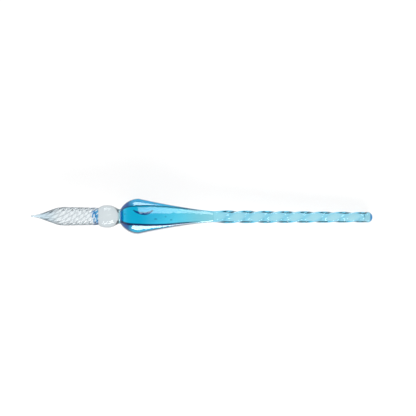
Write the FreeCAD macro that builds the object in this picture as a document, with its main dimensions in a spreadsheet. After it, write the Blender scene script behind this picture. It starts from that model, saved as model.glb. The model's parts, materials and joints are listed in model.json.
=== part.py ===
"""Glass dip pen: a clear spiral nib, a clear ball, a square light-blue bulb, a twisted square stem.

Each section is modelled along the pen's own axis, with local +X running from the writing point to
the far end and X = 0 at the point. The finished pen is then laid down as it rests on a desk, on the
flat under its bulb and on the end bead, with the row's origin below the middle of its bounding box.
"""
import FreeCAD, Part
import math
import os

import Sketcher
from FreeCAD import Placement, Rotation, Vector

# A sketch names a point of its geometry by these numbers, and its own origin by -1.
START, END, CENTRE = 1, 2, 3
ORIGIN = -1
ON_AXIS = "0 * sizes.pen_length"

# Driving dimensions, in millimetres and degrees. Places are distances from the writing point.
DIMENSIONS = {
    "pen_length": 175.0,
    # nib: a grooved rod drawn down to a point
    "point_radius": 0.32,
    "nib_start_radius": 0.38,
    "nib_full_place": 17.0,
    "nib_full_radius": 4.8,
    "nib_root_radius": 4.45,
    "nib_root_place": 34.3,
    "nib_grooves": 12,
    "groove_share": 0.1,
    "nib_turn_at_point": 1.5,
    "nib_turn_at_root": 11.0,
    # ball: a slightly stretched bead with a short neck
    "ball_radius": 5.75,
    "ball_place": 38.2,
    "ball_stretch": 1.2,
    "neck_radius": 3.75,
    "neck_fillet": 1.4,
    # bulb: a round teardrop pressed flat on four sides
    "bulb_face_place": 45.6,
    "bulb_face_depth": 3.6,
    "bulb_face_radius": 4.1,
    "bulb_crest_place": 54.9,
    "bulb_crest_depth": 8.95,
    "bulb_crest_radius": 10.15,
    # stem: a twisted square rod with softened corners
    "stem_place": 93.0,
    "stem_depth": 2.82,
    "stem_radius": 3.4,
    "stem_end_depth": 2.3,
    "stem_end_radius": 2.7,
    "stem_turn_pitch": 39.5,
    "stem_turn_onset": 6.0,
    # end bead
    "bead_place": 171.0,
    "bead_radius": 2.75,
    # attitude at rest, nose up
    "rest_tilt": 2.9,
}

doc = FreeCAD.newDocument("glass_dip_pen")


def make_sheet():
    """The spreadsheet that every section reads its sizes from."""
    sheet = doc.addObject("Spreadsheet::Sheet", "sizes")
    for row, (alias, value) in enumerate(DIMENSIONS.items(), start=1):
        sheet.set(f"A{row}", alias.replace("_", " "))
        sheet.set(f"B{row}", str(value))
        sheet.setAlias(f"B{row}", alias)
    doc.recompute()
    return sheet


sizes = make_sheet()


def origin_feature(body, role):
    """A plane or axis of a body's own origin, found by its role."""
    return next(f for f in body.Origin.OriginFeatures if f.Role == role)


def side_sketch(body, name):
    """A sketch in the body's XZ plane: its x runs along the pen and its y away from the axis."""
    sketch = body.newObject("Sketcher::SketchObject", name)
    sketch.AttachmentSupport = [(origin_feature(body, "XZ_Plane"), "")]
    sketch.MapMode = "FlatFace"
    return sketch


def value_of(expression):
    """The number that an expression over the sheet's cells has now."""
    return float(sizes.evalExpression(expression))


def bind(sketch, constraint, expression):
    """Add a constraint whose value follows an expression over the sheet's cells."""
    index = sketch.addConstraint(constraint)
    sketch.setExpression(f"Constraints[{index}]", expression)


def pin_down(sketch, geometry, point, place, depth):
    """Fix a point of the sketch at a place along the pen and a depth from its axis."""
    for kind, expression in (("DistanceX", place), ("DistanceY", depth)):
        value = value_of(expression)
        bind(sketch, Sketcher.Constraint(kind, ORIGIN, START, geometry, point, value), expression)


def add_line(sketch, start, end):
    """A straight edge between two points given as (place, depth) expressions."""
    ends = [Vector(value_of(place), value_of(depth), 0) for place, depth in (start, end)]
    line = sketch.addGeometry(Part.LineSegment(*ends))
    pin_down(sketch, line, START, *start)
    pin_down(sketch, line, END, *end)


def add_curve(sketch, poles):
    """A smooth curve shaped by four poles, each a (place, depth) pair of expressions."""
    curve = Part.BezierCurve()
    curve.setPoles([Vector(value_of(place), value_of(depth), 0) for place, depth in poles])
    spline = sketch.addGeometry(curve.toBSpline(), False)
    sketch.exposeInternalGeometry(spline)
    for number, (place, depth) in enumerate(poles, start=1):
        pin_down(sketch, spline + number, CENTRE, place, depth)


def add_arc(sketch, centre, radius, left, right):
    """An arc centred on the pen's axis, over the top between two (place, depth) points."""
    middle, size = value_of(centre), value_of(radius)
    angles = [
        math.atan2(value_of(depth), value_of(place) - middle) for place, depth in (right, left)
    ]
    circle = Part.Circle(Vector(middle, 0, 0), Vector(0, 0, 1), size)
    arc = sketch.addGeometry(Part.ArcOfCircle(circle, *angles))
    pin_down(sketch, arc, CENTRE, centre, ON_AXIS)
    bind(sketch, Sketcher.Constraint("Radius", arc, size), radius)
    for point, angle, (place, depth) in zip((START, END), angles, (right, left)):
        steep = math.sin(angle) > math.sin(math.pi / 4)
        kind, expression = ("DistanceX", place) if steep else ("DistanceY", depth)
        value = value_of(expression)
        bind(sketch, Sketcher.Constraint(kind, ORIGIN, START, arc, point, value), expression)


def revolve(body, sketch):
    """Turn a half profile right round the pen's axis."""
    solid = body.newObject("PartDesign::Revolution", f"{body.Name}_turned")
    solid.Profile = sketch
    solid.ReferenceAxis = (origin_feature(body, "X_Axis"), [""])
    solid.Angle = 360
    doc.recompute()
    return solid


def make_ball():
    """Two quarter circles with a short straight between them, then the neck that meets the bulb."""
    body = doc.addObject("PartDesign::Body", "ball")
    sketch = side_sketch(body, "ball_profile")
    radius, neck = "sizes.ball_radius", "sizes.neck_radius"
    root, left, face = "sizes.nib_root_place", "sizes.ball_place", "sizes.bulb_face_place"
    right = "sizes.ball_place + sizes.ball_stretch"
    root_depth = f"sqrt({radius} ^ 2 - ({left} - {root}) ^ 2)"
    neck_place = f"{right} + sqrt({radius} ^ 2 - {neck} ^ 2)"
    add_line(sketch, (face, ON_AXIS), (root, ON_AXIS))
    add_line(sketch, (root, ON_AXIS), (root, root_depth))
    add_arc(sketch, left, radius, (root, root_depth), (left, radius))
    add_line(sketch, (left, radius), (right, radius))
    add_arc(sketch, right, radius, (right, radius), (neck_place, neck))
    add_line(sketch, (neck_place, neck), (face, neck))
    add_line(sketch, (face, neck), (face, ON_AXIS))
    bead = revolve(body, sketch)
    waist = next(
        number
        for number, edge in enumerate(bead.Shape.Edges, start=1)
        if edge.Closed and is_ring_at(edge, value_of(neck_place))
    )
    fillet = body.newObject("PartDesign::Fillet", "neck_fillet")
    fillet.Base = (bead, [f"Edge{waist}"])
    fillet.setExpression("Radius", "sizes.neck_fillet")
    doc.recompute()
    return body


def is_ring_at(edge, place):
    """Whether an edge is a circle about the pen's axis at a place along it."""
    box = edge.BoundBox
    return abs(box.XMin - place) < 1e-3 and abs(box.XMax - place) < 1e-3


def make_bulb():
    """A round teardrop with four pressed flats and a small land underneath to rest on."""
    body = doc.addObject("PartDesign::Body", "bulb")
    outside = "2 * sizes.bulb_crest_radius"
    face, crest, stem = "sizes.bulb_face_place", "sizes.bulb_crest_place", "sizes.stem_place"
    shoulder, waist = f"{crest} - {face}", f"{stem} - {crest}"

    round_profile = side_sketch(body, "round_profile")
    widest = "sizes.bulb_crest_radius"
    add_line(round_profile, (stem, ON_AXIS), (face, ON_AXIS))
    add_line(round_profile, (face, ON_AXIS), (face, "sizes.bulb_face_radius"))
    add_curve(round_profile, [
        (face, "sizes.bulb_face_radius"),
        (f"{face} + 0.11 * ({shoulder})", f"0.68 * {widest}"),
        (f"{face} + 0.47 * ({shoulder})", widest),
        (crest, widest),
    ])
    add_curve(round_profile, [
        (crest, widest),
        (f"{crest} + 0.29 * ({waist})", f"0.82 * {widest}"),
        (f"{crest} + 0.83 * ({waist})", f"0.42 * {widest}"),
        (stem, "sizes.stem_radius"),
    ])
    add_line(round_profile, (stem, "sizes.stem_radius"), (stem, ON_AXIS))
    blank = revolve(body, round_profile)

    flat_profile = side_sketch(body, "flat_profile")
    deepest = "sizes.bulb_crest_depth"
    add_line(flat_profile, (face, outside), (face, "sizes.bulb_face_depth"))
    add_curve(flat_profile, [
        (face, "sizes.bulb_face_depth"),
        (f"{face} + 0.13 * ({shoulder})", f"0.64 * {deepest}"),
        (f"{face} + 0.47 * ({shoulder})", deepest),
        (crest, deepest),
    ])
    add_curve(flat_profile, [
        (crest, deepest),
        (f"{crest} + 0.47 * ({waist})", f"0.55 * {deepest}"),
        (f"{crest} + 0.87 * ({waist})", f"0.33 * {deepest}"),
        (stem, "sizes.stem_depth"),
    ])
    add_line(flat_profile, (stem, "sizes.stem_depth"), (stem, outside))
    add_line(flat_profile, (stem, outside), (face, outside))
    flat = cut_through(body, flat_profile)

    flats = body.newObject("PartDesign::PolarPattern", "four_flats")
    flats.Originals = [flat]
    flats.Axis = (origin_feature(body, "X_Axis"), [""])
    flats.Angle = 360
    flats.Occurrences = 4
    body.Tip = flats
    doc.recompute()
    pressed = flats.Shape.Volume

    land_profile = side_sketch(body, "land_profile")
    near, far = f"{crest} - ({shoulder}) / 2", f"{crest} + ({shoulder}) / 2"
    near_depth = f"-({REST_DEPTH}) - ({shoulder}) / 2 * {REST_SLOPE}"
    far_depth = f"-({REST_DEPTH}) + ({shoulder}) / 2 * {REST_SLOPE}"
    below = f"-({outside})"
    add_line(land_profile, (near, below), (near, near_depth))
    add_line(land_profile, (near, near_depth), (far, far_depth))
    add_line(land_profile, (far, far_depth), (far, below))
    add_line(land_profile, (far, below), (near, below))
    land = cut_through(body, land_profile)
    if not land.Shape.Volume < pressed < blank.Shape.Volume:
        raise RuntimeError("the bulb's flats or its land cut nothing")
    return body


def cut_through(body, sketch):
    """Cut a side profile out of the body, right through on both sides of the axis."""
    pocket = body.newObject("PartDesign::Pocket", sketch.Name.replace("profile", "cut"))
    pocket.Profile = sketch
    pocket.Type = "ThroughAll"
    pocket.SideType = "Symmetric"
    body.Tip = pocket
    doc.recompute()
    return pocket


def make_end_bead():
    """A ball of glass, flat where it joins the stem."""
    body = doc.addObject("PartDesign::Body", "end_bead")
    sketch = side_sketch(body, "end_bead_profile")
    radius, joint, tip = "sizes.bead_radius", "sizes.bead_place", "sizes.pen_length"
    joint_depth = f"sqrt({radius} ^ 2 - ({BEAD_CENTRE} - {joint}) ^ 2)"
    add_line(sketch, (tip, ON_AXIS), (joint, ON_AXIS))
    add_line(sketch, (joint, ON_AXIS), (joint, joint_depth))
    add_arc(sketch, BEAD_CENTRE, radius, (joint, joint_depth), (tip, ON_AXIS))
    revolve(body, sketch)
    return body


def around_axis(place, radius, angle):
    """A point at a distance from the pen's axis, at an angle from +Z towards +Y, in degrees."""
    turn = math.radians(angle)
    return Vector(place, radius * math.sin(turn), radius * math.cos(turn))


def smooth_step(share):
    """0 to 1 with level ends."""
    return share * share * (3 - 2 * share)


def nib_section(place):
    """The nib's outline at a place: rounded lobes with a sharp ink groove between each pair."""
    if place < sizes.nib_full_place:
        swell = smooth_step(place / sizes.nib_full_place)
        radius = sizes.nib_start_radius
        radius += (sizes.nib_full_radius - sizes.nib_start_radius) * swell
    else:
        run = (place - sizes.nib_full_place) / (sizes.nib_root_place - sizes.nib_full_place)
        radius = sizes.nib_full_radius + (sizes.nib_root_radius - sizes.nib_full_radius) * run
    quickening = (sizes.nib_turn_at_root - sizes.nib_turn_at_point) / sizes.nib_root_place
    twist = sizes.nib_turn_at_point * place + quickening * place * place / 2
    lobe = 360 / sizes.nib_grooves
    groove_radius = radius * (1 - sizes.groove_share)
    arcs = []
    for number in range(int(sizes.nib_grooves)):
        start = twist + number * lobe
        left = around_axis(place, groove_radius, start)
        crest = around_axis(place, radius, start + lobe / 2)
        right = around_axis(place, groove_radius, start + lobe)
        arcs.append(Part.Arc(left, crest, right).toShape())
    return Part.Wire(arcs)


def make_nib():
    """A spiral loft, because no sketch feature twists a section as it swells.

    Between two stations the nib turns by less than half a lobe, so that each lobe runs on into
    itself. The writing point is a tiny ball, ground smooth, that stands proud of the grooves' start.
    """
    stations = 32
    first, last = sizes.point_radius, sizes.nib_root_place
    places = [first + (last - first) * number / stations for number in range(stations + 1)]
    grooved = Part.makeLoft([nib_section(place) for place in places], True, False)
    point = Part.makeSphere(sizes.point_radius, Vector(first, 0, 0), Vector(-1, 0, 0), 0, 90)
    return add_shape("nib", grooved.fuse(point))


def stem_section(place):
    """The stem's outline at a place: a turned square with rounded corners."""
    run = (place - sizes.stem_place) / (sizes.bead_place - sizes.stem_place)
    depth = sizes.stem_depth + (sizes.stem_end_depth - sizes.stem_depth) * run
    radius = sizes.stem_radius + (sizes.stem_end_radius - sizes.stem_radius) * run
    corner = (math.sqrt(2) * depth - radius) / (math.sqrt(2) - 1)
    edge_turn = math.degrees(math.atan((depth - corner) / depth))
    edge_radius = math.hypot(depth, depth - corner)
    angle = stem_twist(place)
    edges = []
    for side in range(4):
        middle = angle + side * 90
        start = around_axis(place, edge_radius, middle - edge_turn)
        end = around_axis(place, edge_radius, middle + edge_turn)
        ridge = around_axis(place, radius, middle + 45)
        turned = around_axis(place, edge_radius, middle + 90 - edge_turn)
        edges.append(Part.LineSegment(start, end).toShape())
        edges.append(Part.Arc(end, ridge, turned).toShape())
    return Part.Wire(edges)


def stem_twist(place):
    """How far the square has turned at a place: the twist builds up gently, then holds its pitch."""
    rate = 360 / sizes.stem_turn_pitch
    run = place - sizes.stem_place
    if run < sizes.stem_turn_onset:
        return rate * run * run / (2 * sizes.stem_turn_onset)
    return rate * (run - sizes.stem_turn_onset / 2)


def make_stem():
    """A twisted loft, because no sketch feature turns a square about its own centre."""
    stations = 36
    length = sizes.bead_place - sizes.stem_place
    places = [sizes.stem_place + length * number / stations for number in range(stations + 1)]
    return add_shape("stem", Part.makeLoft([stem_section(place) for place in places], True, False))


def add_shape(name, shape):
    """A document object that holds a ready-made solid."""
    feature = doc.addObject("Part::Feature", name)
    feature.Shape = shape
    return feature


def lay_down(parts):
    """Tip the pen nose up about Y and move it so that it lies on Z = 0, centred over the origin."""
    tilt = math.radians(sizes.rest_tilt)
    bead_centre = sizes.pen_length - sizes.bead_radius
    front = sizes.point_radius * (math.cos(tilt) - 1)
    back = bead_centre * math.cos(tilt) + sizes.bead_radius
    height = bead_centre * math.sin(tilt) + sizes.bead_radius
    at_rest = Placement(Vector(-(front + back) / 2, 0, height),
                        Rotation(Vector(0, 1, 0), sizes.rest_tilt))
    for part in parts:
        part.Placement = at_rest
    doc.recompute()


def check_and_write(parts):
    """Stop at any failed object or bad solid, then write one file for each section."""
    for item in doc.Objects:
        if "Invalid" in item.State or "Error" in item.State:
            raise RuntimeError(f"{item.Name} failed: {item.State}")
    os.makedirs("parts", exist_ok=True)
    for part in parts:
        shape = part.Shape
        if shape.isNull() or not shape.isValid() or len(shape.Solids) != 1:
            raise RuntimeError(f"{part.Label} isn't one valid solid")
        shape.exportStep(f"parts/{part.Label}.step")
        box = shape.BoundBox
        print(f"{part.Label}: {shape.Volume:.1f} mm3, {box.XMin:.2f} to {box.XMax:.2f} mm in X, "
              f"{box.ZMin:.3f} to {box.ZMax:.2f} mm in Z")


BEAD_CENTRE = "(sizes.pen_length - sizes.bead_radius)"
REST_SLOPE = "tan(sizes.rest_tilt * 1 deg)"
REST_DEPTH = (
    "sizes.bead_radius / cos(sizes.rest_tilt * 1 deg)"
    f" + ({BEAD_CENTRE} - sizes.bulb_crest_place) * {REST_SLOPE}"
)

sections = [make_nib(), make_ball(), make_bulb(), make_stem(), make_end_bead()]
lay_down(sections)
check_and_write(sections)
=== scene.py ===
"""Glass dip pen: the looks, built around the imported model. Lengths are metres."""
import json
import math
from functools import lru_cache

import bmesh
import bpy
from mathutils import Matrix, Vector


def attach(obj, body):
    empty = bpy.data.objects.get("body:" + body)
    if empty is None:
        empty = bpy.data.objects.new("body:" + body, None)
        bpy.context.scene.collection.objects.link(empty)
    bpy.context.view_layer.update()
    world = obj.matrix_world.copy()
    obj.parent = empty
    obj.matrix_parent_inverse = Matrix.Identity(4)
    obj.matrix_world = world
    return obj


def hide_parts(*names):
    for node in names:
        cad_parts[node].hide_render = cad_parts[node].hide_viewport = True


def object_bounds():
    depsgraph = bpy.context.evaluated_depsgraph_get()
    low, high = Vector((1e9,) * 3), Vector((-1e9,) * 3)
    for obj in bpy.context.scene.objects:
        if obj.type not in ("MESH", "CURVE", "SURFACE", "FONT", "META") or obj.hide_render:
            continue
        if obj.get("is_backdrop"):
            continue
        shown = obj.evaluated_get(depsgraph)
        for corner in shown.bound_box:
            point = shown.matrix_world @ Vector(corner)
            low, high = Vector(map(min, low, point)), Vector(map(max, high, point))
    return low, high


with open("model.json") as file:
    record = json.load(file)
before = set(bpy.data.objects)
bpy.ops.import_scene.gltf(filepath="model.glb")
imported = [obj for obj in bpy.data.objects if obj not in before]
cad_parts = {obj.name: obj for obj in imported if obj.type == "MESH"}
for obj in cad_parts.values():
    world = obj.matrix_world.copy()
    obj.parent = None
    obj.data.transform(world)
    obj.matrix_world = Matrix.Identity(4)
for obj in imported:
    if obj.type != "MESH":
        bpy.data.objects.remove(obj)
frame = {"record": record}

cad_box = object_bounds()

MM = 0.001

# ---------------------------------------------------------------- the pen's own axis

MOUNTS = {mount["name"]: mount for mount in frame["record"]["mounts"]}
POINT = Vector(MOUNTS["writing_point"]["pos_m"])
ALONG = -Vector(MOUNTS["writing_point"]["axis"]).normalized()
ACROSS = Vector((0, 1, 0))
UPWARD = ALONG.cross(ACROSS)
ON_AXIS = Matrix((
    (ALONG.x, ACROSS.x, UPWARD.x, POINT.x),
    (ALONG.y, ACROSS.y, UPWARD.y, POINT.y),
    (ALONG.z, ACROSS.z, UPWARD.z, POINT.z),
    (0, 0, 0, 1),
))

# ---------------------------------------------------------------- sizes, as in the CAD model

PEN_LENGTH = 175.0 * MM
POINT_RADIUS = 0.32 * MM
NIB_START_RADIUS = 0.38 * MM
NIB_FULL_PLACE = 17.0 * MM
NIB_FULL_RADIUS = 4.8 * MM
NIB_ROOT_RADIUS = 4.45 * MM
NIB_ROOT_PLACE = 34.3 * MM
NIB_GROOVES = 12
NIB_TURN_AT_POINT = math.radians(1.5) / MM
NIB_TURN_AT_ROOT = math.radians(11.0) / MM

BALL_RADIUS = 5.75 * MM
BALL_PLACE = 38.2 * MM
BALL_STRETCH = 1.2 * MM
NECK_RADIUS = 3.75 * MM

BULB_FACE_PLACE = 45.6 * MM
BULB_FACE_DEPTH = 3.6 * MM
BULB_FACE_RADIUS = 4.1 * MM
BULB_CREST_PLACE = 54.9 * MM
BULB_CREST_DEPTH = 8.95 * MM
BULB_CREST_RADIUS = 10.15 * MM
CREST_HANDLE = 0.47

STEM_PLACE = 93.0 * MM
STEM_DEPTH = 2.82 * MM
STEM_RADIUS = 3.4 * MM
STEM_END_DEPTH = 2.3 * MM
STEM_END_RADIUS = 2.7 * MM
STEM_TURN_PITCH = 39.5 * MM
STEM_TURN_ONSET = 6.0 * MM

BEAD_PLACE = 171.0 * MM
BEAD_RADIUS = 2.75 * MM

# ---------------------------------------------------------------- finer than the CAD model

# Neighbouring pieces run into each other by this much, so that light crosses a joint as it
# crosses fused glass.
FUSED = 0.03 * MM

# The nib's grooves are worn a little shallower than they were cut, as a share of its radius.
GROOVE_SHARE = 0.05

# The creases round each pressed flat: fine sunk lines, with the flat slightly crowned. The reach
# is how far to each side of a crease the mesh is drawn finely, within a share of the room there.
CREASE_REACH = 0.8 * MM
CREASE_WIDTH = 0.3 * MM
CREASE_DEPTH = 0.15 * MM
CREASE_DIES = (78 * MM, STEM_PLACE)
CREASE_ROOM = 0.8
FLAT_CROWN = 0.15 * MM
STEM_CREASE_REACH = 0.25 * MM
STEM_CREASE_WIDTH = 0.12 * MM
STEM_CREASE_DEPTH = 0.02 * MM
STEM_CROWN = 0.05 * MM

# The square end of the stem melts into the end bead over this length.
MELT_LENGTH = 2.2 * MM

# How far from the pen's two ends the last ring of points is.
POINT_GAP = 0.00256 * MM
END_GAP = 0.006 * MM

# How finely the pieces are drawn: rings along each one, and points round a ring.
NIB_TIP_RINGS, NIB_RINGS, NIB_LOBE_POINTS = 8, 240, 16
BALL_RINGS, BALL_POINTS = 90, 128
BULB_FRONT_RINGS, BULB_BACK_RINGS = 40, 110
STEM_RINGS = 320
BEAD_START_RINGS, BEAD_END_RINGS = 10, 24
FLAT_POINTS, LIP_POINTS = 8, 16
CAVITY_SIDES, BUBBLE_RINGS, FOLD_RINGS = 16, 12, 28

# The search for a place on a profile halves its step this often.
HALVINGS = 40


# ---------------------------------------------------------------- curves

def smooth_step(share):
    """0 to 1 with level ends."""
    return share * share * (3 - 2 * share)


def fade(value, start, end):
    """0 before the start, 1 past the end, and smooth between them."""
    return smooth_step(min(max((value - start) / (end - start), 0.0), 1.0))


def between(value, start, full, falling, end):
    """Rises from the start to 1, and falls again to 0 at the end."""
    return fade(value, start, full) * (1 - fade(value, falling, end))


def evenly(start, end, count):
    """Evenly spaced places, both ends included."""
    return [start + (end - start) * number / count for number in range(count + 1)]


def rounded_off(start, end, count):
    """Places that crowd together towards the end, for the pole of a ball."""
    return [
        start + (end - start) * math.sin(math.pi / 2 * number / count)
        for number in range(count + 1)
    ]


def bezier_point(poles, step):
    """A point of a cubic curve with four poles."""
    back = 1 - step
    weights = (back ** 3, 3 * back * back * step, 3 * back * step * step, step ** 3)
    return tuple(sum(w * pole[axis] for w, pole in zip(weights, poles)) for axis in (0, 1))


def bezier_height(poles, place):
    """How far from the axis a cubic profile is at a place along the pen."""
    low, high = 0.0, 1.0
    for _ in range(HALVINGS):
        middle = (low + high) / 2
        if bezier_point(poles, middle)[0] < place:
            low = middle
        else:
            high = middle
    return bezier_point(poles, low)[1]


def bulb_curves(start, widest, end, front_handle, back_handles):
    """The two curves of a bulb profile: the round shoulder, then the long taper to the stem.

    A handle is a share of its curve's length and of the widest radius.
    """
    shoulder = BULB_CREST_PLACE - BULB_FACE_PLACE
    waist = STEM_PLACE - BULB_CREST_PLACE
    front = (
        (BULB_FACE_PLACE, start),
        (BULB_FACE_PLACE + front_handle[0] * shoulder, front_handle[1] * widest),
        (BULB_FACE_PLACE + CREST_HANDLE * shoulder, widest),
        (BULB_CREST_PLACE, widest),
    )
    back = (
        (BULB_CREST_PLACE, widest),
        (BULB_CREST_PLACE + back_handles[0][0] * waist, back_handles[0][1] * widest),
        (BULB_CREST_PLACE + back_handles[1][0] * waist, back_handles[1][1] * widest),
        (STEM_PLACE, end),
    )
    return front, back


ROUND_CURVES = bulb_curves(
    BULB_FACE_RADIUS, BULB_CREST_RADIUS, STEM_RADIUS, (0.11, 0.68), ((0.29, 0.82), (0.83, 0.42))
)
FLAT_CURVES = bulb_curves(
    BULB_FACE_DEPTH, BULB_CREST_DEPTH, STEM_DEPTH, (0.13, 0.64), ((0.47, 0.55), (0.87, 0.33))
)


@lru_cache(maxsize=None)
def bulb_height(curves, place):
    """A bulb profile's distance from the axis at a place."""
    front, back = curves
    return bezier_height(front if place < BULB_CREST_PLACE else back, place)


# ---------------------------------------------------------------- sections

def sphere_reach(radius, away):
    """A sphere's distance from its axis, this far along the axis from its middle."""
    return math.sqrt(max(radius ** 2 - away ** 2, 0.0))


def flat_turn(angle):
    """The angle from the middle of the nearest of four flats."""
    return abs((angle + math.pi / 4) % (math.pi / 2) - math.pi / 4)


def pressed_angles(depth, radius, lip):
    """Where a ring with four pressed flats has its points: close together at the creases."""
    corner = math.pi / 4
    crease = math.acos(depth / radius)
    lip = min(lip / radius, CREASE_ROOM * crease, CREASE_ROOM * (corner - crease))
    half = evenly(0, crease - lip, FLAT_POINTS)[:-1]
    half += evenly(crease - lip, crease + lip, LIP_POINTS)[:-1]
    half += evenly(crease + lip, corner, FLAT_POINTS)[:-1]
    quarter = half + [corner] + [2 * corner - angle for angle in reversed(half[1:])]
    return [side * 2 * corner + angle for side in range(4) for angle in quarter]


def pressed_reach(turn, depth, radius, crown, sunk, width):
    """The radius of a round rod with four pressed flats, crowned, with sunk creases."""
    crease = math.acos(depth / radius)
    reach = min(depth / math.cos(turn), radius) - crown * min(turn / crease, 1) ** 2
    return reach - sunk * math.exp(-(((turn - crease) * radius / width) ** 2))


def nib_twist(place):
    """How far the nib's grooves have turned at a place."""
    quickening = (NIB_TURN_AT_ROOT - NIB_TURN_AT_POINT) / NIB_ROOT_PLACE
    return NIB_TURN_AT_POINT * place + quickening * place * place / 2


def nib_reach(place, angle):
    """The nib's radius: a round point, then twelve lobes with a sharp groove between each pair."""
    if place < POINT_RADIUS:
        return sphere_reach(POINT_RADIUS, POINT_RADIUS - place)
    if place < NIB_FULL_PLACE:
        swell = smooth_step(place / NIB_FULL_PLACE)
        radius = NIB_START_RADIUS + (NIB_FULL_RADIUS - NIB_START_RADIUS) * swell
    else:
        run = (place - NIB_FULL_PLACE) / (NIB_ROOT_PLACE - NIB_FULL_PLACE)
        radius = NIB_FULL_RADIUS + (NIB_ROOT_RADIUS - NIB_FULL_RADIUS) * run
    lobe = 2 * math.pi / NIB_GROOVES
    share = ((angle - nib_twist(place)) / lobe) % 1
    return radius * (1 - GROOVE_SHARE * (2 * share - 1) ** 2)


def ball_reach(place, angle):
    """The ball's radius: a stretched sphere that flows into the neck."""
    if place < BALL_PLACE:
        return sphere_reach(BALL_RADIUS, BALL_PLACE - place)
    ball = sphere_reach(BALL_RADIUS, max(0.0, place - BALL_PLACE - BALL_STRETCH))
    blend = BALL_RADIUS - NECK_RADIUS
    overlap = max(blend - abs(ball - NECK_RADIUS), 0.0)
    return max(ball, NECK_RADIUS) + overlap ** 2 / (4 * blend)


def bulb_section(place):
    """Half the bulb's width across its flats and across its corners, at a place."""
    return bulb_height(FLAT_CURVES, place), bulb_height(ROUND_CURVES, place)


def bulb_angles(place):
    """Where a ring of the bulb has its points."""
    return pressed_angles(*bulb_section(place), CREASE_REACH)


def bulb_reach(place, angle):
    """The bulb's radius: a round teardrop with four pressed flats."""
    depth, radius = bulb_section(place)
    share = depth / BULB_CREST_DEPTH
    sunk = CREASE_DEPTH * share * (1 - fade(place, *CREASE_DIES))
    turn = flat_turn(angle)
    return pressed_reach(turn, depth, radius, FLAT_CROWN * share, sunk, CREASE_WIDTH)


def stem_twist(place):
    """How far the stem's square has turned at a place."""
    rate = 2 * math.pi / STEM_TURN_PITCH
    run = place - STEM_PLACE
    if run < STEM_TURN_ONSET:
        return rate * run * run / (2 * STEM_TURN_ONSET)
    return rate * (run - STEM_TURN_ONSET / 2)


def stem_section(place):
    """Half the stem's width across its flats and across its corners, at a place."""
    run = (place - STEM_PLACE) / (BEAD_PLACE - STEM_PLACE)
    return (
        STEM_DEPTH + (STEM_END_DEPTH - STEM_DEPTH) * run,
        STEM_RADIUS + (STEM_END_RADIUS - STEM_RADIUS) * run,
    )


def stem_angles(place):
    """Where a ring of the stem has its points."""
    twist = stem_twist(place)
    return [twist + angle for angle in pressed_angles(*stem_section(place), STEM_CREASE_REACH)]


def stem_reach(place, angle):
    """The stem's radius: a turned square with rounded corners."""
    depth, radius = stem_section(place)
    turn = flat_turn(angle - stem_twist(place))
    return pressed_reach(turn, depth, radius, STEM_CROWN, STEM_CREASE_DEPTH, STEM_CREASE_WIDTH)


def bead_reach(place, angle):
    """The end bead's radius: the stem's square, melted round."""
    ball = sphere_reach(BEAD_RADIUS, place - (PEN_LENGTH - BEAD_RADIUS))
    melted = fade(place, BEAD_PLACE, BEAD_PLACE + MELT_LENGTH)
    square = stem_reach(BEAD_PLACE, angle)
    return ball * melted + min(ball, square) * (1 - melted)


# ---------------------------------------------------------------- meshes

def add_cavity(mesh, line, radii):
    """Air trapped in the glass: a tube along a line of points, closed at both ends.

    Its faces look inwards, because the glass is on the outside of them.
    """
    rings = []
    for number, (middle, radius) in enumerate(zip(line, radii)):
        ahead = line[min(number + 1, len(line) - 1)] - line[max(number - 1, 0)]
        level = ahead.cross(Vector((0, 0, 1))).normalized()
        upright = level.cross(ahead).normalized()
        rings.append([
            mesh.verts.new(
                middle + radius * (math.cos(angle) * level + math.sin(angle) * upright)
            )
            for angle in evenly(0, 2 * math.pi, CAVITY_SIDES)[:-1]
        ])
    faces = [mesh.faces.new(rings[0]), mesh.faces.new(list(reversed(rings[-1])))]
    for near, far in zip(rings, rings[1:]):
        for side in range(CAVITY_SIDES):
            turn = (side + 1) % CAVITY_SIDES
            faces.append(mesh.faces.new((near[side], far[side], far[turn], near[turn])))
    for face in faces:
        face.smooth = len(face.verts) == 4
    bmesh.ops.recalc_face_normals(mesh, faces=faces)
    bmesh.ops.reverse_faces(mesh, faces=faces)
    return [vertex for ring in rings for vertex in ring]


def bubble(place, across, up, long, wide):
    """The line, radii and colour of a small bubble, drawn out along the pen."""
    steps = evenly(-1, 1, BUBBLE_RINGS)[1:-1]
    line = [Vector((place + long * step, across, up)) for step in steps]
    return line, [wide * math.sqrt(1 - step * step) for step in steps], PALE_BLUE


def air_fold(place, across, up, long, deep, wide):
    """The same for a crescent of air, where the hot glass was folded over itself, its walls
    painted with a dark-blue shade.
    """
    steps = evenly(-1, 1, FOLD_RINGS)[1:-1]
    line = [Vector((place + long * step, across + deep * step * step, up)) for step in steps]
    return line, [wide * (1 - step * step) ** 0.8 for step in steps], FOLD_SHADE_BLUE


def around(points):
    """A ring's angles, evenly spaced at every place."""
    angles = evenly(0, 2 * math.pi, points)[:-1]
    return lambda place: angles


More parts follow.
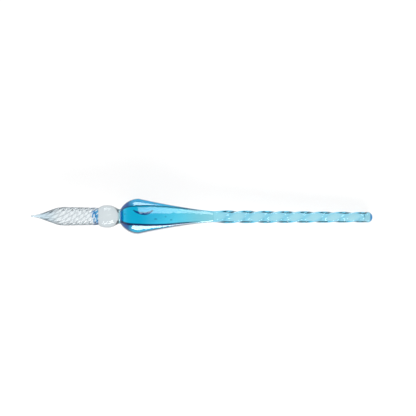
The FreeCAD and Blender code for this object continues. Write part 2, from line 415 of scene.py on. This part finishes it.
def skin(name, places, angles_at, reach, tint_and_painted_light, cavities=()):
    """A closed mesh around the pen's axis, with a ring of points at each place.

    The colour function gives the colour painted at a point of the surface: mostly painted shade
    and painted reflections, with some plain tint; cavities are air trapped in the glass. Nothing
    reaches past the CAD model's box.
    """
    mesh = bmesh.new()
    # Each point's painted colour: mostly painted shade and painted reflections, some plain tint.
    tint_and_painted_light_layer = mesh.verts.layers.float_color.new("tint_and_painted_light")
    rings = []
    for place in places:
        ring = []
        for angle in angles_at(place):
            radius = reach(place, angle)
            vertex = mesh.verts.new((place, radius * math.sin(angle), radius * math.cos(angle)))
            vertex[tint_and_painted_light_layer] = (*tint_and_painted_light(place, angle), 1)
            ring.append(vertex)
        rings.append(ring)
    sides = len(rings[0])
    for near, far in zip(rings, rings[1:]):
        for side in range(sides):
            turn = (side + 1) % sides
            mesh.faces.new((near[side], near[turn], far[turn], far[side]))
    mesh.faces.new(list(reversed(rings[0])))
    mesh.faces.new(rings[-1])
    bmesh.ops.recalc_face_normals(mesh, faces=mesh.faces)
    for face in mesh.faces:
        face.smooth = len(face.verts) == 4
    for line, radii, colour in cavities:
        for vertex in add_cavity(mesh, line, radii):
            vertex[tint_and_painted_light_layer] = (*colour, 1)
    data = bpy.data.meshes.new(name)
    mesh.to_mesh(data)
    mesh.free()
    data.transform(ON_AXIS)
    for vertex in data.vertices:
        vertex.co = [min(max(part, low), high) for part, low, high in zip(vertex.co, *cad_box)]
    piece = bpy.data.objects.new(name, data)
    bpy.context.scene.collection.objects.link(piece)
    return piece


# ---------------------------------------------------------------- painted shade, painted reflections and tints

# Colours painted onto the surface besides the glass's own: mostly painted shade and painted
# reflections standing in for light refracted through the glass, and a few plain tints.
# Painted blue light at the nib's tip, standing in for the bulb's blue carried along the glass.
PAINTED_TIP_BLUE = (0.75, 0.89, 0.97)
# Painted shade in the nib's grooves.
GROOVE_SHADE = (0.55, 0.57, 0.6)
# Painted blue glints, standing in for the bulb seen through the ball and the flutes.
GLINT_BLUE = (0.0, 0.14, 0.5)
# Painted blue in the clear neck, standing in for the bulb seen through it.
PAINTED_NECK_BLUE = (0.4, 0.68, 0.76)
# Painted navy shade in the bulb's darkest corners and at its collar.
NAVY_SHADE = (0.0, 0.035, 0.2)
# Painted shade along the bulb's creases.
CREASE_SHADE_BLUE = (0.0, 0.004, 0.03)
# Painted deeper blue along the bulb's far-side corners, for how light falls on that side.
FAR_SIDE_SHADE_BLUE = (0.05, 0.62, 0.85)
FRONT_BLUE = (0.1, 0.98, 0.96)
TAIL_GREY = (1.0, 0.88, 0.86)
START_BLUE = (0.88, 1.0, 1.0)
# Painted teal shade along the stem's corners and sides.
TEAL_SHADE = (0.0, 0.7, 1.0)
END_BLUE = (0.05, 0.2, 0.55)
# Painted dark-blue shade on the walls of the crescent of air.
FOLD_SHADE_BLUE = (0.0, 0.1, 0.35)
PALE_BLUE = (0.6, 0.85, 0.95)

# The nib: the painted blue light at the tip dies out, painted shade darkens the grooves, and
# painted blue glints, standing in for the bulb seen through the ball, run from the ball along the
# sides of most lobes. The last two say where colour sets in, from the middle of a lobe, 0, to a
# groove, 1.
PAINTED_TIP_BLUE_DIES = (6 * MM, 16 * MM)
GROOVE_SHADE_GROWS = (4 * MM, 10 * MM)
SHORTEST_GLINT = 2.0 * MM
GLINT_SPREAD = 3.5 * MM
GLINT_START = 1.0 * MM
GLINT_WIDTH = (0.1, 0.35)
GROOVE_SHADE_WIDTH = (0.6, 0.9)

# The neck, the bulb, the stem and the end bead, as places along the pen.
NECK_COLOURS = (43.7 * MM, 44.8 * MM)
COLLAR = (46.0 * MM, 46.4 * MM, 46.8 * MM, 47.3 * MM)
SHOULDER_DIES = (49.0 * MM, 52.5 * MM)
FRONT_DIES = (54 * MM, 61 * MM)
TAIL_CORNERS = (72 * MM, 79 * MM, 84 * MM, 90 * MM)
TAIL_GREYS = (72 * MM, 86 * MM)
CREASE_LINES_DIE = (80 * MM, 89 * MM)
START_DIES = (STEM_PLACE, STEM_PLACE + 9 * MM)
END_COLOURS = (173.3 * MM, 173.8 * MM)

# Across the bulb's surface, as distances from a crease: negative on the flat, positive on the
# corner. The painted shade lines at the creases are wider on the near side, towards -Y.
NEAR_LINE = (-0.7 * MM, -0.4 * MM, 0.5 * MM, 1.1 * MM)
FAR_LINE = (-0.35 * MM, -0.1 * MM, 0.3 * MM, 0.9 * MM)
CORNER_COLOURS = (-0.1 * MM, 0.3 * MM)
BAND_COLOURS = (0.0, 0.4 * MM)

# Round the pen, as sines of the angle from its top: the far side, towards +Y, and both sides.
FAR_SIDE = (0.0, 0.2)
BOTH_SIDES = (0.7, 0.9)

# Across the stem, as shares of the angle from the middle of a flat to its crease: where the
# painted teal shade begins at the sides, and where it is full.
TEAL_SHADE_SHARES = (0.4, 0.85)

# How strong the fainter painted shades are.
FAR_LINE_SHARE, COLLAR_SHARE, TAIL_SHARE, CORNER_SHARE = 0.85, 0.8, 0.9, 0.25


def towards(colour, share):
    """From clear to a colour, by a share."""
    return tuple(1 - share + share * part for part in colour)


def layered(*colours):
    """The colour of light that has passed through several colours."""
    return tuple(math.prod(parts) for parts in zip(*colours))


def nib_painted_light(place, angle):
    """Painted shade in the grooves, painted blue glints beside the ball, standing in for the blue
    bulb seen through the ball and flutes, and painted blue light at the tip.
    """
    turns = (angle - nib_twist(place)) / (2 * math.pi / NIB_GROOVES)
    number = int(turns // 1) % NIB_GROOVES
    groove = abs(turns % 1 - 0.5) * 2
    # Five lengths in a mixed order, and every third lobe is left without.
    length = SHORTEST_GLINT + GLINT_SPREAD * ((number * 7) % 5) / 4
    start = NIB_ROOT_PLACE - length
    # Painted blue glints beside the ball.
    glint = fade(place, start, start + GLINT_START) * fade(groove, *GLINT_WIDTH)
    if glint > 0 and number % 3 != 1:
        return towards(GLINT_BLUE, glint)
    # Painted shade in the grooves and painted blue light at the tip.
    return layered(
        towards(GROOVE_SHADE, fade(groove, *GROOVE_SHADE_WIDTH) * fade(place, *GROOVE_SHADE_GROWS)),
        towards(PAINTED_TIP_BLUE, 1 - fade(place, *PAINTED_TIP_BLUE_DIES)),
    )


def ball_painted_light(place, angle):
    """Painted blue in the clear neck, standing in for the bulb's blue seen through it."""
    return towards(PAINTED_NECK_BLUE, fade(place, *NECK_COLOURS))


def bulb_tint_and_painted_shade(place, angle):
    """Painted shade: ink-blue lines at the creases, and navy at the collar and in the corners of
    both ends; a painted deeper blue along the far corners, for how light falls on that side; and
    plain
    tints: a purer blue at the front and a slightly greyer tail."""
    depth, radius = bulb_section(place)
    away = (flat_turn(angle) - math.acos(depth / radius)) * radius
    near_side = math.pi < angle < 2 * math.pi
    # Painted shade lines at the creases, wider on the near side.
    line = between(away, *NEAR_LINE) if near_side else FAR_LINE_SHARE * between(away, *FAR_LINE)
    corner = fade(away, *CORNER_COLOURS)
    # Painted navy shade in the shoulder's corners, at the collar and in the tail's corners.
    shoulder = corner * (1 - fade(place, *SHOULDER_DIES))
    collar = COLLAR_SHARE * between(place, *COLLAR)
    tail = TAIL_SHARE * corner * between(place, *TAIL_CORNERS)
    # Painted deeper blue on the far side's corners.
    far_corner = fade(away, *BAND_COLOURS) * fade(math.sin(angle), *FAR_SIDE)
    return layered(
        towards(NAVY_SHADE, max(shoulder, collar, tail)),
        towards(CREASE_SHADE_BLUE, line * (1 - fade(place, *CREASE_LINES_DIE))),
        towards(FAR_SIDE_SHADE_BLUE, far_corner),
        towards(FRONT_BLUE, 1 - fade(place, *FRONT_DIES)),
        towards(TAIL_GREY, fade(place, *TAIL_GREYS)),
    )


def stem_tint_and_painted_shade(place, angle):
    """Painted teal shade along the stem's corners, strongest at its two sides, and a trace of blue
    where it begins."""
    depth, radius = stem_section(place)
    turn = flat_turn(angle - stem_twist(place))
    begins, full = (share * math.acos(depth / radius) for share in TEAL_SHADE_SHARES)
    # Painted teal shade at the corners, strongest where they pass the two sides.
    corner = CORNER_SHARE * fade(turn, full, math.pi / 4)
    flank = fade(turn, begins, full) * fade(abs(math.sin(angle)), *BOTH_SIDES)
    return layered(
        towards(TEAL_SHADE, max(corner, flank)),
        towards(START_BLUE, 1 - fade(place, *START_DIES)),
    )


def bead_tint(place, angle):
    """Deeper blue at the very end of the bead."""
    return towards(END_BLUE, fade(place, *END_COLOURS))


# ---------------------------------------------------------------- the pieces

# Places along the pen, across it and up from its axis, then lengths and widths.
BULB_CAVITIES = (
    air_fold(57.2 * MM, 1.0 * MM, 4.5 * MM, 5.2 * MM, 2.2 * MM, 0.9 * MM),
    bubble(49.0 * MM, 1.0 * MM, 2.0 * MM, 0.35 * MM, 0.3 * MM),
    bubble(63.3 * MM, -1.6 * MM, 4.0 * MM, 0.9 * MM, 0.35 * MM),
    bubble(68.4 * MM, -0.3 * MM, 3.0 * MM, 0.6 * MM, 0.25 * MM),
    bubble(71.2 * MM, -1.9 * MM, 2.5 * MM, 0.7 * MM, 0.3 * MM),
    bubble(63.0 * MM, 5.3 * MM, 4.5 * MM, 0.8 * MM, 0.3 * MM),
)


def make_nib():
    """The fluted clear rod, drawn to a point."""
    point = rounded_off(POINT_RADIUS, POINT_GAP, NIB_TIP_RINGS)[1:]
    places = point[::-1] + evenly(POINT_RADIUS, NIB_ROOT_PLACE + FUSED, NIB_RINGS)
    angles_at = around(NIB_GROOVES * NIB_LOBE_POINTS)
    return skin("glass_nib", places, angles_at, nib_reach, nib_painted_light)


def make_ball():
    """The clear ball and its neck."""
    places = evenly(NIB_ROOT_PLACE, BULB_FACE_PLACE + FUSED, BALL_RINGS)
    return skin("glass_ball", places, around(BALL_POINTS), ball_reach, ball_painted_light)


def make_bulb():
    """The blue grip, pressed flat on four sides, with the air trapped in it."""
    front = rounded_off(BULB_CREST_PLACE, BULB_FACE_PLACE, BULB_FRONT_RINGS)[::-1]
    back = evenly(BULB_CREST_PLACE, STEM_PLACE + FUSED, BULB_BACK_RINGS)
    places = front + back[1:]
    return skin("glass_bulb", places, bulb_angles, bulb_reach, bulb_tint_and_painted_shade, BULB_CAVITIES)


def make_stem():
    """The twisted handle."""
    places = evenly(STEM_PLACE, BEAD_PLACE + FUSED, STEM_RINGS)
    return skin("glass_stem", places, stem_angles, stem_reach, stem_tint_and_painted_shade)


def make_end_bead():
    """The melted end of the handle."""
    centre = PEN_LENGTH - BEAD_RADIUS
    start = evenly(BEAD_PLACE, centre, BEAD_START_RINGS)
    end = rounded_off(centre, PEN_LENGTH - END_GAP, BEAD_END_RINGS)
    angles = stem_angles(BEAD_PLACE)
    return skin("glass_end_bead", start + end[1:], lambda place: angles, bead_reach, bead_tint)


# ---------------------------------------------------------------- materials

GLASS_IOR = 1.5

# Keeps the colour that a volume absorbs most a little above black.
ABSORBING_MARGIN = 1.05

# Lines drawn along the rod while it was hot: how many to a metre across it, their width as a
# share of their length, and how deep. They also make the fire polish slightly uneven.
LINES_PER_METRE = 450.0
LINE_WIDTH_SHARE = 0.12
LINE_DETAIL = 2.0
LINE_DEPTH = 0.15 * MM
LINE_STRENGTH = 0.04
POLISH_RANGE = (0.5, 1.5)


def new_material(name):
    """A material with one plain shader."""
    material = bpy.data.materials.new(name)
    material.use_nodes = True
    nodes, links = material.node_tree.nodes, material.node_tree.links
    nodes.clear()
    output = nodes.new("ShaderNodeOutputMaterial")
    shader = nodes.new("ShaderNodeBsdfPrincipled")
    links.new(shader.outputs["BSDF"], output.inputs["Surface"])
    return material, shader, output


def fill_ramp(ramp, stops):
    """Give a colour ramp its stops, each a place from 0 to 1 and a colour."""
    elements = ramp.color_ramp.elements
    elements.remove(elements[1])
    for number, (place, colour) in enumerate(stops):
        stop = elements[0] if number == 0 else elements.new(place)
        stop.position = place
        stop.color = (*colour, 1)


def glass(name, absorbs, rim_shade_tints, shine, dull):
    """Glass whose thickness colours it (absorbs, in 1/m for R, G and B), with a painted shade that
    darkens its turned-away sides towards the outline (the tints by tilt in degrees), and with the
    painted shade, painted reflections and plain tints that its mesh carries.

    Shine is the strength of reflections, and dull is the mean roughness.
    """
    material, shader, output = new_material(name)
    nodes, links = material.node_tree.nodes, material.node_tree.links
    shader.inputs["Transmission Weight"].default_value = 1.0
    shader.inputs["IOR"].default_value = GLASS_IOR
    shader.inputs["Specular Tint"].default_value = (*shine, 1)
    volume = nodes.new("ShaderNodeVolumeAbsorption")
    density = max(absorbs) * ABSORBING_MARGIN
    volume.inputs["Color"].default_value = [1 - rate / density for rate in absorbs] + [1]
    volume.inputs["Density"].default_value = density
    links.new(volume.outputs["Volume"], output.inputs["Volume"])

    # Painted shade: the base colour darkens as the surface turns away, giving dark outlines.
    turned = nodes.new("ShaderNodeLayerWeight")
    turned.inputs["Blend"].default_value = 0.5
    ramp = nodes.new("ShaderNodeValToRGB")
    fill_ramp(ramp, [(1 - math.cos(math.radians(tilt)), tint) for tilt, tint in rim_shade_tints])
    links.new(turned.outputs["Facing"], ramp.inputs["Fac"])
    # The painted shade, painted reflections and tints that the mesh carries.
    tint_and_painted_light = nodes.new("ShaderNodeAttribute")
    tint_and_painted_light.attribute_name = "tint_and_painted_light"
    deepen = nodes.new("ShaderNodeVectorMath")
    deepen.operation = "MULTIPLY"
    links.new(ramp.outputs["Color"], deepen.inputs[0])
    links.new(tint_and_painted_light.outputs["Color"], deepen.inputs[1])
    links.new(deepen.outputs["Vector"], shader.inputs["Base Color"])

    where = nodes.new("ShaderNodeTexCoord")
    drawn = nodes.new("ShaderNodeMapping")
    drawn.inputs["Scale"].default_value = (LINE_WIDTH_SHARE, 1.0, 1.0)
    links.new(where.outputs["Object"], drawn.inputs["Vector"])
    lines = nodes.new("ShaderNodeTexNoise")
    lines.inputs["Scale"].default_value = LINES_PER_METRE
    lines.inputs["Detail"].default_value = LINE_DETAIL
    links.new(drawn.outputs["Vector"], lines.inputs["Vector"])
    bump = nodes.new("ShaderNodeBump")
    bump.inputs["Strength"].default_value = LINE_STRENGTH
    bump.inputs["Distance"].default_value = LINE_DEPTH
    links.new(lines.outputs["Fac"], bump.inputs["Height"])
    links.new(bump.outputs["Normal"], shader.inputs["Normal"])
    polish = nodes.new("ShaderNodeMapRange")
    polish.inputs["To Min"].default_value = POLISH_RANGE[0] * dull
    polish.inputs["To Max"].default_value = POLISH_RANGE[1] * dull
    links.new(lines.outputs["Fac"], polish.inputs["Value"])
    links.new(polish.outputs["Result"], shader.inputs["Roughness"])
    return material


CLEAR_ABSORBS = (20.0, 14.0, 12.0)
BLUE_ABSORBS = (210.0, 33.0, 8.0)
PALE_ABSORBS = (190.0, 55.0, 26.0)
# The tints by tilt are painted shade: each glass darker towards its outline.
FLUTED = glass(
    "fluted_clear_glass", CLEAR_ABSORBS,
    ((0, (0.95, 0.96, 0.97)), (20, (0.92, 0.94, 0.95)), (40, (0.7, 0.73, 0.75)),
     (75, (0.34, 0.38, 0.42))),
    shine=(0.15, 0.15, 0.15), dull=0.2,
)
CLEAR = glass(
    "clear_glass", CLEAR_ABSORBS,
    ((0, (0.8, 0.82, 0.83)), (35, (0.75, 0.78, 0.8)), (60, (0.68, 0.72, 0.74)),
     (80, (0.5, 0.54, 0.57))),
    shine=(0.12, 0.12, 0.12), dull=0.05,
)
BLUE = glass(
    "blue_glass", BLUE_ABSORBS,
    ((0, (0.84, 0.88, 0.92)), (28, (0.72, 0.84, 0.9)), (38, (0.6, 0.85, 0.95)),
     (60, (0.5, 0.8, 0.9)), (80, (0.1, 0.5, 0.65)), (86, (0.0, 0.25, 0.4))),
    shine=(0.85, 0.95, 1.0), dull=0.015,
)
DRAWN_BLUE = glass(
    "drawn_blue_glass", PALE_ABSORBS,
    ((0, (0.93, 0.9, 0.9)), (30, (0.85, 0.87, 0.9)), (55, (0.6, 0.88, 0.96)),
     (80, (0.15, 0.75, 0.9))),
    shine=(0.0, 0.03, 0.04), dull=0.1,
)

# ---------------------------------------------------------------- the pen

PIECES = {
    "nib": (make_nib(), FLUTED, "clear_glass"),
    "ball": (make_ball(), CLEAR, "clear_glass"),
    "bulb": (make_bulb(), BLUE, "blue_glass"),
    "stem": (make_stem(), DRAWN_BLUE, "blue_glass"),
    "end_bead": (make_end_bead(), DRAWN_BLUE, "blue_glass"),
}
for node, (piece, material, slot) in PIECES.items():
    piece.data.materials.append(material)
    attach(piece, "root")
    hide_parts(node)

# ---------------------------------------------------------------- floor, light and camera

FLOOR_REACH = 1.5
FLOOR_GAP = 0.1 * MM
FLOOR_ALBEDO, FLOOR_GLOW = 0.1, 0.88

# The brightness of the room, by degrees above the horizon.
SKY = ((0, 1.0), (10, 0.9), (25, 0.35), (45, 0.2), (90, 0.15))

# Where each softbox is and points, its width and height, and how bright its surface is.
LAMPS = (
    ("near_softbox", (0.05, -0.6, 0.2), (0, 0, 0.02), 0.9, 0.4, 20),
    ("far_softbox", (-0.05, 0.6, 0.18), (0, 0, 0.02), 0.45, 0.34, 11),
    ("top_softbox", (0.25, 0.2, 0.9), (0.1, 0, 0.0), 0.5, 0.2, 6),
)

# As shares of the picture's width: the pen's length, and how far to the right of the pen's
# middle, and beyond it, the camera points.
PEN_SHARE = 0.822115
AIM_SHIFT = (0.0137, 0.02043)
CAMERA_ELEVATION = math.radians(86)
CAMERA_DISTANCE = 1.2
SENSOR_WIDTH = 36


def make_floor():
    """A plain pale floor, just under the pen."""
    mesh = bpy.data.meshes.new("floor")
    corners = [(-1, -1), (1, -1), (1, 1), (-1, 1)]
    points = [(x * FLOOR_REACH, y * FLOOR_REACH, -FLOOR_GAP) for x, y in corners]
    mesh.from_pydata(points, [], [(0, 1, 2, 3)])
    floor = bpy.data.objects.new("floor", mesh)
    bpy.context.scene.collection.objects.link(floor)
    material, shader, _ = new_material("floor")
    shader.inputs["Base Color"].default_value = (FLOOR_ALBEDO,) * 3 + (1,)
    shader.inputs["Roughness"].default_value = 0.9
    shader.inputs["Specular IOR Level"].default_value = 0.0
    shader.inputs["Emission Color"].default_value = (1, 1, 1, 1)
    shader.inputs["Emission Strength"].default_value = FLOOR_GLOW
    mesh.materials.append(material)
    floor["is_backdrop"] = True


def make_lamp(name, place, target, width, height, radiance):
    """A softbox with a level upper edge. Rays that have passed through the glass don't end on
    it, so that the twisted handle doesn't sparkle."""
    light = bpy.data.lights.new(name, "AREA")
    light.shape = "RECTANGLE"
    light.size, light.size_y = width, height
    light.energy = radiance * math.pi * width * height
    lamp = bpy.data.objects.new(name, light)
    lamp.location = place
    lamp.visible_transmission = False
    back = (Vector(place) - Vector(target)).normalized()
    level = (Vector((1, 0, 0)) - back * back.x).normalized()
    lamp.rotation_euler = Matrix((level, back.cross(level), back)).transposed().to_euler()
    bpy.context.scene.collection.objects.link(lamp)


def make_world():
    """A plain room, brightest near the horizon."""
    world = bpy.data.worlds.new("studio")
    bpy.context.scene.world = world
    world.use_nodes = True
    nodes, links = world.node_tree.nodes, world.node_tree.links
    nodes.clear()
    output = nodes.new("ShaderNodeOutputWorld")
    background = nodes.new("ShaderNodeBackground")
    direction = nodes.new("ShaderNodeTexCoord")
    split = nodes.new("ShaderNodeSeparateXYZ")
    ramp = nodes.new("ShaderNodeValToRGB")
    fill_ramp(ramp, [(math.sin(math.radians(height)), (grey,) * 3) for height, grey in SKY])
    links.new(direction.outputs["Generated"], split.inputs["Vector"])
    links.new(split.outputs["Z"], ramp.inputs["Fac"])
    links.new(ramp.outputs["Color"], background.inputs["Color"])
    links.new(background.outputs["Background"], output.inputs["Surface"])


def make_camera():
    """The camera, nearly straight above the pen."""
    low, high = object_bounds()
    frame_width = (high.x - low.x) / PEN_SHARE
    aim = (low + high) / 2 + Vector((*AIM_SHIFT, 0)) * frame_width
    back = Vector((0, -math.cos(CAMERA_ELEVATION), math.sin(CAMERA_ELEVATION)))
    camera = bpy.data.cameras.new("camera")
    camera.sensor_width = SENSOR_WIDTH
    camera.lens = SENSOR_WIDTH * CAMERA_DISTANCE / frame_width
    camera.clip_start, camera.clip_end = 0.01, 20
    stand = bpy.data.objects.new("camera", camera)
    stand.location = aim + back * CAMERA_DISTANCE
    stand.rotation_euler = (-back).to_track_quat("-Z", "Y").to_euler()
    bpy.context.scene.collection.objects.link(stand)
    bpy.context.scene.camera = stand


make_floor()
make_world()
for lamp in LAMPS:
    make_lamp(*lamp)
make_camera()
bpy.context.scene.view_settings.view_transform = "Standard"
